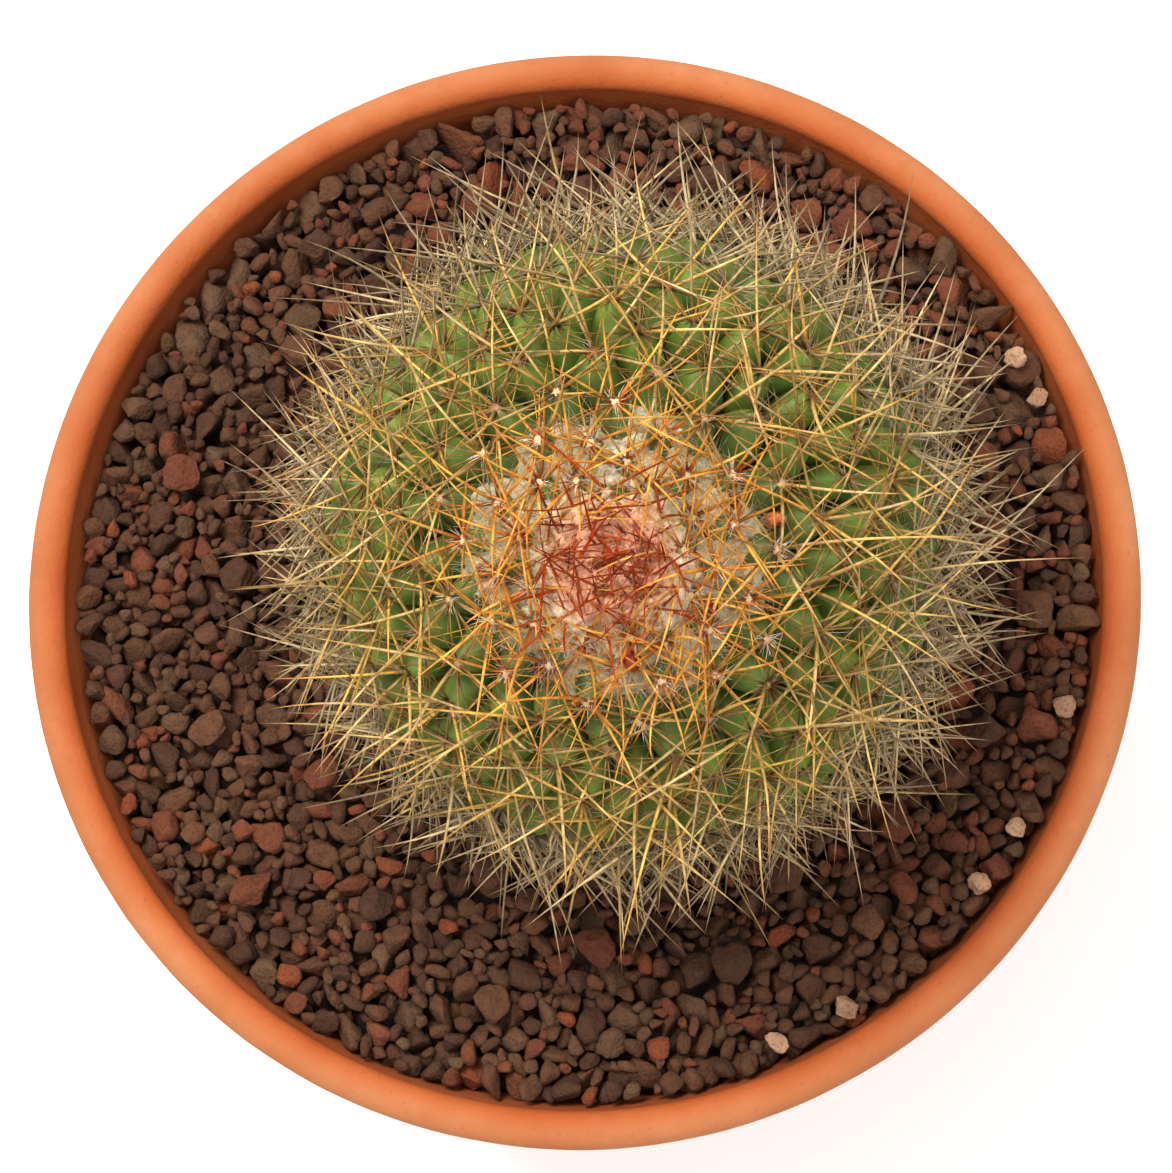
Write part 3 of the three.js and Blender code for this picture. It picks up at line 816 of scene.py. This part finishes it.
def around_areole(way):
    """Unit directions along the skin at a tubercle: away from the crown, and sideways."""
    away = np.array([way[0], way[1], 0.0]) + 1e-9
    away = unit(away - way * (away @ way))
    return away, np.cross(way, away)


def tip_shifts():
    """How far each tubercle's tip lies from straight above its base."""
    rng = np.random.default_rng(5)
    away = np.array([around_areole(way)[0] for way in tubercles])
    wander = rng.normal(0, TIP_WANDER, tubercles.shape)
    return (TIP_SHIFT * away + wander) * maturity(tubercles)[:, None]


shifts = tip_shifts()
tips = tubercles * globe_radius(tubercles)[:, None] + shifts

# Skin colours: the side green and the axil colour are painted shade on the tubercles' sides and in the
# axils between them
SHADED_SIDE_GREEN = srgb(58, 84, 28)
TIP_GREEN = srgb(122, 144, 54)
YOUNG_GREEN = srgb(102, 120, 62)
AXIL_SHADE = srgb(36, 42, 16)
CORKY = srgb(112, 98, 70)
YOUNG_FELT = srgb(226, 194, 156)
OLD_FELT = srgb(124, 86, 50)


def build_stem():
    points = []
    tints = []
    quads = []
    triangles = []
    edge_points = {}
    corner_points = {}

    def colour(way, height, world_z):
        age = float(smooth(crown_distance(way), 24 * MM, 48 * MM))
        # painted shade: the sides darker than the tips, and darkest in the axils between tubercles
        body = mix(SHADED_SIDE_GREEN, mix(YOUNG_GREEN, TIP_GREEN, age), 0.35 + 0.65 * height ** 1.5)
        body = mix(AXIL_SHADE, body, smooth(height, 0.0, 0.34))
        cork = 1 - smooth(world_z, bed_top + 2 * MM, bed_top + 22 * MM)
        felt = mix(YOUNG_FELT, OLD_FELT, smooth(crown_distance(way), 26 * MM, 38 * MM))
        return mix(mix(body, CORKY, 0.75 * cork), felt, smooth(height, 0.96, 1.0))

    def add(point, way, height):
        points.append(point)
        tints.append(colour(way, height, to_world(point)[2]))
        return len(points) - 1

    def valley(way):
        return way * (globe_radius(way) - TUBERCLE_HEIGHT * maturity(way))

    def corner(t):
        if t not in corner_points:
            corner_points[t] = add(valley(axils[t]), axils[t], 0.0)
        return corner_points[t]

    def edge(a, b):
        """Points between two axils, in order from a to b, shared with the neighbour."""
        key = (min(a, b), max(a, b))
        if key not in edge_points:
            ends = axils[key[0]], axils[key[1]]
            made = []
            for k in range(1, EDGE_STEPS):
                way = unit(mix(ends[0], ends[1], k / EDGE_STEPS))
                made.append(add(valley(way), way, 0.0))
            edge_points[key] = made
        found = edge_points[key]
        return found if a < b else found[::-1]

    for index, cell in enumerate(cells):
        way = tubercles[index]
        ring = []
        for k, t in enumerate(cell):
            ring.append(corner(t))
            ring.extend(edge(t, cell[(k + 1) % len(cell)]))
        count = len(ring)
        border = unit(np.array([points[i] for i in ring]))
        offset = border - way
        reach = np.linalg.norm(offset, axis=1, keepdims=True)
        round_offset = offset / reach * reach.mean()
        tip_radius = globe_radius(way)
        previous = ring
        base_radius = np.array([np.linalg.norm(points[i]) for i in ring])
        for height, width in TUBERCLE_OUTLINE[1:]:
            shape = mix(offset, round_offset, smooth(height, 0.3, 0.95))
            ways = unit(way + shape * width)
            radius = mix(base_radius, tip_radius, height)[:, None]
            made = ways * radius + shifts[index] * height ** 1.5
            current = [add(p, w, height) for p, w in zip(made, ways)]
            for k in range(count):
                n = (k + 1) % count
                quads.append((previous[k], previous[n], current[n], current[k]))
            previous = current
        top = add(way * (tip_radius + 0.1 * MM) + shifts[index], way, 1.0)
        for k in range(count):
            triangles.append((previous[k], previous[(k + 1) % count], top))
    make_piece("cactus_body", to_world(np.array(points)), [np.array(quads), np.array(triangles)],
               skin_stuff, ["cactus_stem"], np.array(tints))


build_stem()

# ---------------- spines and hairs


NEEDLE_TAPER = 0.55      # power of the taper: under 1 keeps a needle thick for most of its length


def needles(bases, ways, bends, lengths, radii, colours, sides, steps):
    """Tapered curved needles, all at once. colours: (count, 3 stops, 3), from base to tip.
    Returns points, faces and colours."""
    count = len(bases)
    helper = np.where(np.abs(ways[:, 2:3]) < 0.8, [[0, 0, 1.0]], [[1.0, 0, 0]])
    u = unit(np.cross(ways, helper))
    v = np.cross(ways, u)
    t = np.linspace(0, 1, steps + 1)
    along = t[None, :, None] * lengths[:, None, None]
    centre = bases[:, None] + ways[:, None] * along + bends[:, None] * along * t[None, :, None]
    thick = radii[:, None] * (1 - t[None, :]) ** NEEDLE_TAPER
    a = circle(sides)
    ring = u[:, None] * np.cos(a)[None, :, None] + v[:, None] * np.sin(a)[None, :, None]
    rings = centre[:, :-1, None] + thick[:, :-1, None, None] * ring[:, None]
    tips = centre[:, -1:]
    points = np.concatenate([rings.reshape(count, -1, 3), tips], axis=1)
    per = sides * steps + 1
    first, second = t[:-1] * 2, t[:-1] * 2 - 1
    shade = np.where(first[None, :, None] < 1,
                     mix(colours[:, 0:1], colours[:, 1:2], np.clip(first, 0, 1)[None, :, None]),
                     mix(colours[:, 1:2], colours[:, 2:3], np.clip(second, 0, 1)[None, :, None]))
    tint = np.concatenate([np.repeat(shade, sides, axis=1), colours[:, 2:3]], axis=1)
    quads = ring_faces(steps, sides)
    last = (steps - 1) * sides + np.arange(sides)
    tip_faces = fan_faces(last, per - 1)
    base_faces = np.array([(0, k + 1, k) for k in range(1, sides - 1)])
    shift = (np.arange(count) * per)[:, None, None]
    four = (quads[None] + shift).reshape(-1, 4)
    three = (np.concatenate([tip_faces, base_faces])[None] + shift).reshape(-1, 3)
    return points.reshape(-1, 3), [four, three], tint.reshape(-1, 3)


class Needles:
    """Gathers needles in the stem's frame and makes pieces of them."""

    def __init__(self):
        self.rows = []

    def add(self, base, way, bend, length, radius, colours):
        self.rows.append((base, way, bend, length, radius, colours))

    def build(self, name, material, sides, steps):
        bases, ways, bends, lengths, radii, colours = (np.array(c) for c in zip(*self.rows))
        bases = to_world(bases)
        ways = unit(ways) @ stem_turn.T
        bends = bends @ stem_turn.T
        per = 2 * sides * (steps - 1) + 2 * sides - 2
        parts = math.ceil(len(bases) * per / MOST_FACES)
        for k, chosen in enumerate(np.array_split(np.arange(len(bases)), parts)):
            points, faces, tint = needles(bases[chosen], ways[chosen], bends[chosen], lengths[chosen],
                                          radii[chosen], colours[chosen], sides, steps)
            label = name if parts == 1 else f"{name}_{k + 1}"
            make_piece(label, points, faces, material, ["cactus_stem"], tint)


SPINE_DARK = srgb(114, 26, 0)
SPINE_RED = srgb(162, 62, 6)
SPINE_ORANGE = srgb(174, 113, 42)
SPINE_GOLD = srgb(206, 165, 76)
SPINE_STRAW = srgb(204, 180, 130)
SPINE_TAN = srgb(160, 142, 112)
SPINE_GREY = srgb(130, 117, 98)
SPINE_BROWN = srgb(106, 70, 30)
BRISTLE_WHITE = srgb(250, 242, 226)

# An areole's spines by age, up to a distance from the crown's centre: how many long central ones
# and short radial ones. Lengths, and leans from upright in radians, are a mean and a spread.
SpineZone = namedtuple("SpineZone", "until centrals long upright radials short flat")
YOUNG = SpineZone(13 * MM, 5, (12.5 * MM, 3 * MM), (0.85, 0.3), 4, (7.5 * MM, 2 * MM), (1.05, 0.3))
RING = SpineZone(28 * MM, 6, (16 * MM, 3 * MM), (0.95, 0.25), 9, (9.5 * MM, 2 * MM), (1.2, 0.12))
GROWN = SpineZone(57 * MM, 6, (21.5 * MM, 3.5 * MM), (0.98, 0.2), 12, (13 * MM, 2.5 * MM),
                  (1.25, 0.12))
OLD = SpineZone(math.inf, 6, (19 * MM, 4 * MM), (1.0, 0.22), 12, (12 * MM, 3 * MM), (1.2, 0.15))

# Base, middle and tip of a spine: two colours, and the most share that the second can have.
YOUNG_STOPS = [(SPINE_ORANGE, SPINE_RED, 1), (SPINE_RED, SPINE_DARK, 0.9),
               (SPINE_DARK, SPINE_DARK, 1)]
RING_STOPS = [(SPINE_ORANGE, SPINE_RED, 1), (SPINE_GOLD, SPINE_ORANGE, 0.8),
              (SPINE_ORANGE, SPINE_RED, 1)]
CENTRAL_STOPS = [(SPINE_GOLD, SPINE_BROWN, 1), (SPINE_GOLD, SPINE_STRAW, 1),
                 (SPINE_ORANGE, SPINE_BROWN, 1)]
RADIAL_STOPS = [(SPINE_BROWN, SPINE_TAN, 1), (SPINE_BROWN, SPINE_GOLD, 1),
                (SPINE_BROWN, SPINE_TAN, 1)]
OLD_STOPS = [(SPINE_TAN, SPINE_GREY, 1), (SPINE_TAN, SPINE_STRAW, 1),
             (SPINE_BROWN, SPINE_TAN, 0.7)]


def zone_at(distance):
    return next(zone for zone in (YOUNG, RING, GROWN, OLD) if distance < zone.until)


def spine_colours(rng, zone, central):
    """Colours of one spine's base, middle and tip."""
    grown = CENTRAL_STOPS if central else RADIAL_STOPS
    stops = {YOUNG: YOUNG_STOPS, RING: RING_STOPS, GROWN: grown, OLD: OLD_STOPS}[zone]
    shares = rng.uniform(size=3)
    colours = [mix(first, second, most * share) for (first, second, most), share in zip(stops, shares)]
    dullest, brightest = (0.8, 1.38) if zone in (YOUNG, RING) else (0.5, 1.16)
    return np.array(colours) * rng.uniform(dullest, brightest)


GRIT_CLEAR = 3 * MM      # spines stop this far above the bed's mean top
LEAN_IN = 0.35           # how much the young spines lean over the crown
TUFTED_REACH = 31 * MM   # areoles bear white tufts this far from the crown's centre

# Spines' radii in millimetres, a mean and a spread
CENTRAL_RADIUS = (0.31, 0.04)
YOUNG_RADIUS = (0.27, 0.04)
RADIAL_RADIUS = (0.17, 0.02)

# The fine bristles of one areole: how many, their lengths and radius in millimetres, and shades
Bristles = namedtuple("Bristles", "count lengths radius shades")
TUFT = Bristles(20, (1.4, 3.0), 0.09, (0.85, 1.0))
SPARSE = Bristles(8, (1.4, 4.0), 0.06, (0.5, 0.9))


def add_spines(spines, rng, zone, way, tip):
    """The central and radial spines of one areole."""
    away, side = around_areole(way)
    low = to_world(tip)[2] - bed_top
    start = rng.uniform(0, 2 * math.pi)
    for k in range(zone.centrals + zone.radials):
        central = k < zone.centrals
        share = k / zone.centrals if central else (k - zone.centrals + 0.5) / zone.radials
        turn = start + 2 * math.pi * share + rng.normal(0, 0.28)
        sideways = math.cos(turn) * away + math.sin(turn) * side
        lean = rng.normal(*(zone.upright if central else zone.flat))
        direction = way * math.cos(lean) + sideways * math.sin(lean)
        if zone is YOUNG:
            direction = direction - away * LEAN_IN
        direction = unit(direction)
        length = rng.normal(*(zone.long if central else zone.short))
        thick = YOUNG_RADIUS if zone is YOUNG else CENTRAL_RADIUS
        radius = rng.normal(*(thick if central else RADIAL_RADIUS)) * MM
        bend = rng.normal(0, 0.13, 3)
        drop = -(direction @ stem_turn[2])
        if drop > 0:
            length = min(length, max((low - GRIT_CLEAR) / drop, 2 * MM))
        base = tip + sideways * AREOLE_RADIUS * rng.uniform(0.3, 0.8) - way * 0.3 * MM
        spines.add(base, direction, bend, length, radius, spine_colours(rng, zone, central))


def add_bristles(bristles, rng, kind, way, tip):
    """The fine white bristles of one areole."""
    away, side = around_areole(way)
    for _ in range(kind.count):
        turn = rng.uniform(0, 2 * math.pi)
        sideways = math.cos(turn) * away + math.sin(turn) * side
        lean = rng.uniform(0.2, 1.5)
        direction = way * math.cos(lean) + sideways * math.sin(lean)
        base = tip + sideways * AREOLE_RADIUS * 0.7 - way * 0.2 * MM
        length = rng.uniform(*kind.lengths) * MM
        colour = BRISTLE_WHITE * rng.uniform(*kind.shades)
        bend = rng.normal(0, 0.25, 3)
        bristles.add(base, direction, bend, length, kind.radius * MM, [colour] * 3)


def build_spines():
    rng = np.random.default_rng(23)
    spines = Needles()
    bristles = Needles()
    for way, tip in zip(tubercles, tips):
        if to_world(tip)[2] - bed_top < GRIT_CLEAR:
            continue
        distance = float(crown_distance(way))
        zone = zone_at(distance)
        add_spines(spines, rng, zone, way, tip)
        if zone in (RING, GROWN):
            add_bristles(bristles, rng, TUFT if distance < TUFTED_REACH else SPARSE, way, tip)
    spines.build("spines", spine_stuff, 5, 6)
    bristles.build("areole_bristles", spine_stuff, 3, 3)


build_spines()

# ---------------- wool


WOOL_REACH = 33 * MM     # along the skin from the crown's centre
# Height of the wool's surface over the tubercle tips, by distance from the crown's centre.
WOOL_STOPS = np.array([0, 9, 13, 17, 22, 27, 31, 34]) * MM
WOOL_HEIGHTS = np.array([1.3, 1.5, 0.4, -1.0, -1.9, -2.9, -6.0, -12.0]) * MM
WOOL_CORE = 0.6 * STEM_RADIUS    # the hidden inside of the pad, from the globe's centre
WOOL_SALMON = srgb(255, 194, 156)
WOOL_CREAM = srgb(255, 234, 194)
WOOL_PALE = srgb(228, 228, 194)
HAIRS = 9000
HAIR_REACH = 30 * MM
HAIR_RADIUS = 0.06 * MM


def wool_point(way):
    """The wool's surface in a direction from the globe's centre."""
    distance = crown_distance(way)
    place = way * STEM_RADIUS
    lumps = 0.75 * MM * waves(place, 7 * MM, 41)
    lumps = lumps + 0.5 * MM * waves(place, 2.6 * MM, 42)
    lumps = lumps + 0.22 * MM * waves(place, 1.2 * MM, 44)
    ragged = distance + 2.5 * MM * waves(place, 12 * MM, 43)
    height = np.interp(ragged, WOOL_STOPS, WOOL_HEIGHTS) + lumps
    return way * (globe_radius(way) + height)[..., None]


def wool_colour(way):
    """Salmon on the crown's centre, cream to pale green in a ring round it."""
    distance = crown_distance(way)
    greenish = smooth(waves(way * STEM_RADIUS, 9 * MM, 45), -0.4, 0.5)
    ring = mix(WOOL_CREAM, WOOL_PALE, (greenish * smooth(distance, 12 * MM, 20 * MM))[..., None])
    return mix(WOOL_SALMON, ring, smooth(distance, 8 * MM, 14 * MM)[..., None])


def build_wool_pad():
    rings, around = 110, 240
    a = circle(around)
    angles = np.linspace(0.004, 1, rings) * (WOOL_REACH / STEM_RADIUS)
    ways = np.stack([
        np.sin(angles)[:, None] * np.cos(a)[None],
        np.sin(angles)[:, None] * np.sin(a)[None],
        np.repeat(np.cos(angles)[:, None], around, axis=1),
    ], axis=-1).reshape(-1, 3)
    top = wool_point(ways)
    inner = ways[-around:] * WOOL_CORE
    centre_top = wool_point(np.array([[0, 0, 1.0]]))
    centre_low = np.array([[0, 0, WOOL_CORE]])
    points = np.concatenate([top, inner, centre_top, centre_low])
    quads = ring_faces(rings + 1, around)[:, ::-1]
    fan_top = fan_faces(np.arange(around), len(points) - 2)
    fan_low = fan_faces(rings * around + np.arange(around), len(points) - 1)[:, ::-1]
    make_piece("crown_wool", to_world(points), [quads, fan_top, fan_low], wool_stuff,
               ["cactus_stem"], wool_colour(unit(points)))


def build_wool_hairs():
    rng = np.random.default_rng(61)
    hairs = Needles()
    for _ in range(HAIRS):
        angle = HAIR_REACH * math.sqrt(rng.uniform()) / STEM_RADIUS
        turn = rng.uniform(0, 2 * math.pi)
        flat = math.sin(angle)
        way = np.array([flat * math.cos(turn), flat * math.sin(turn), math.cos(angle)])
        base = wool_point(way[None])[0]
        direction = way * rng.uniform(0.2, 0.9) + rng.normal(0, 0.6, 3)
        bend = rng.normal(0, 0.9, 3)
        colour = wool_colour(way) * rng.uniform(0.85, 1.25)
        length = rng.uniform(1.0, 3.0) * MM
        hairs.add(base - way * 0.2 * MM, direction, bend, length, HAIR_RADIUS, [colour] * 3)
    hairs.build("wool_hairs", wool_stuff, 3, 4)


build_wool_pad()
build_wool_hairs()

# ---------------- dried flowers and fruit


def shrivelled(node, name, material, seed, ribs):
    """A wrinkled remnant in the place of its CAD node, along that node's own axis."""
    co = np.array([v.co[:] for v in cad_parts[node].data.vertices])
    middle = co.mean(axis=0)
    outward = unit(middle - stem_centre)
    along = (co - middle) @ outward
    length = np.ptp(along)
    foot = middle + outward * along.min()
    width = np.linalg.norm((co - middle) - along[:, None] * outward, axis=1).max()
    rings, around = 22, 28
    t = np.linspace(0, 1, rings)
    a = circle(around)
    swell = 0.22 + 0.78 * np.sin(math.pi * np.clip(t * 0.78 + 0.02, 0, 1)) ** 1.2
    profile = width * swell * np.sqrt(1 - t ** 8)
    side = unit(np.cross(outward, [0.3, 0.9, 0.1]))
    front = np.cross(outward, side)
    rng = np.random.default_rng(seed)
    twist = a[None] + 0.9 * t[:, None]
    crease = 0.22 * (0.5 + 0.5 * np.cos(ribs * twist + rng.uniform(0, 6)))
    uneven = 0.1 * rng.uniform(0, 1, (rings, 1))
    reach = profile[:, None] * (1 - crease - uneven)
    sway = 0.25 * width * np.sin(3 * t)[:, None, None] * side
    points = (foot + (t * length)[:, None, None] * outward + sway
              + reach[..., None] * (np.cos(a)[None, :, None] * side + np.sin(a)[None, :, None] * front))
    points = points.reshape(-1, 3)
    foot_end = points[:around].mean(axis=0)
    top_end = points[-around:].mean(axis=0) - outward * 0.3 * MM
    count = len(points)
    first = np.arange(around)
    last = (rings - 1) * around + first
    fans = np.concatenate([fan_faces(first, count)[:, ::-1], fan_faces(last, count + 1)])
    make_piece(name, np.concatenate([points, [foot_end, top_end]]),
               [ring_faces(rings, around), fans], material, [node])


for number in range(1, 6):
    shrivelled(f"dried_flower_{number}", f"flower_remnant_{number}", petal_stuff,
               seed=70 + number, ribs=5)
shrivelled("dry_fruit", "fruit_husk", husk_stuff, seed=90, ribs=4)

# ---------------- floor, lights, camera


def build_stage():
    bpy.ops.mesh.primitive_plane_add(size=6, location=(0, 0, -0.0005))
    floor = bpy.context.object
    floor.name = "floor"
    s = Shader("floor_white", 0.9)
    s.surface.inputs["Base Color"].default_value = (0.97, 0.97, 0.97, 1)
    floor.data.materials.append(s.material)


def area_light(name, place, size, power, colour=(1, 1, 1)):
    light = bpy.data.lights.new(name, "AREA")
    light.size = size
    light.energy = power
    light.color = colour
    lamp = bpy.data.objects.new(name, light)
    bpy.context.scene.collection.objects.link(lamp)
    lamp.location = place
    aim = Vector((0, 0, 0.15)) - Vector(place)
    lamp.rotation_euler = aim.to_track_quat("-Z", "Y").to_euler()


def build_lights():
    area_light("key", (-0.4, 0.42, 1.4), size=0.6, power=26, colour=(1, 0.985, 0.96))
    area_light("fill", (0.9, -0.6, 1.0), size=1.2, power=7)
    world = bpy.data.worlds.new("studio")
    bpy.context.scene.world = world
    world.use_nodes = True
    sky = world.node_tree.nodes["Background"]
    sky.inputs["Color"].default_value = (1, 1, 1, 1)
    sky.inputs["Strength"].default_value = 1.03


def build_camera():
    elevation = math.radians(78.3)
    azimuth = math.radians(17.8)
    distance = 650 * MM
    back = Vector((math.sin(azimuth) * math.cos(elevation), -math.cos(azimuth) * math.cos(elevation),
                   math.sin(elevation)))
    aim = Vector((1.3 * MM, -0.5 * MM, POT_HEIGHT))
    # turned so that +Y is up in the picture
    right = Vector((0, 1, 0)).cross(back).normalized()
    up = back.cross(right)
    data = bpy.data.cameras.new("camera")
    data.sensor_width = 36
    data.lens = 111.6
    data.clip_start = 0.01
    camera = bpy.data.objects.new("camera", data)
    bpy.context.scene.collection.objects.link(camera)
    camera.location = aim + back * distance
    turn = np.array([right, up, back]).T
    camera.rotation_euler = Matrix(turn.tolist()).to_euler()
    bpy.context.scene.camera = camera


build_stage()
build_lights()
build_camera()
view = bpy.context.scene.view_settings
view.view_transform = "Standard"
view.exposure = 0.03
view.gamma = 0.9
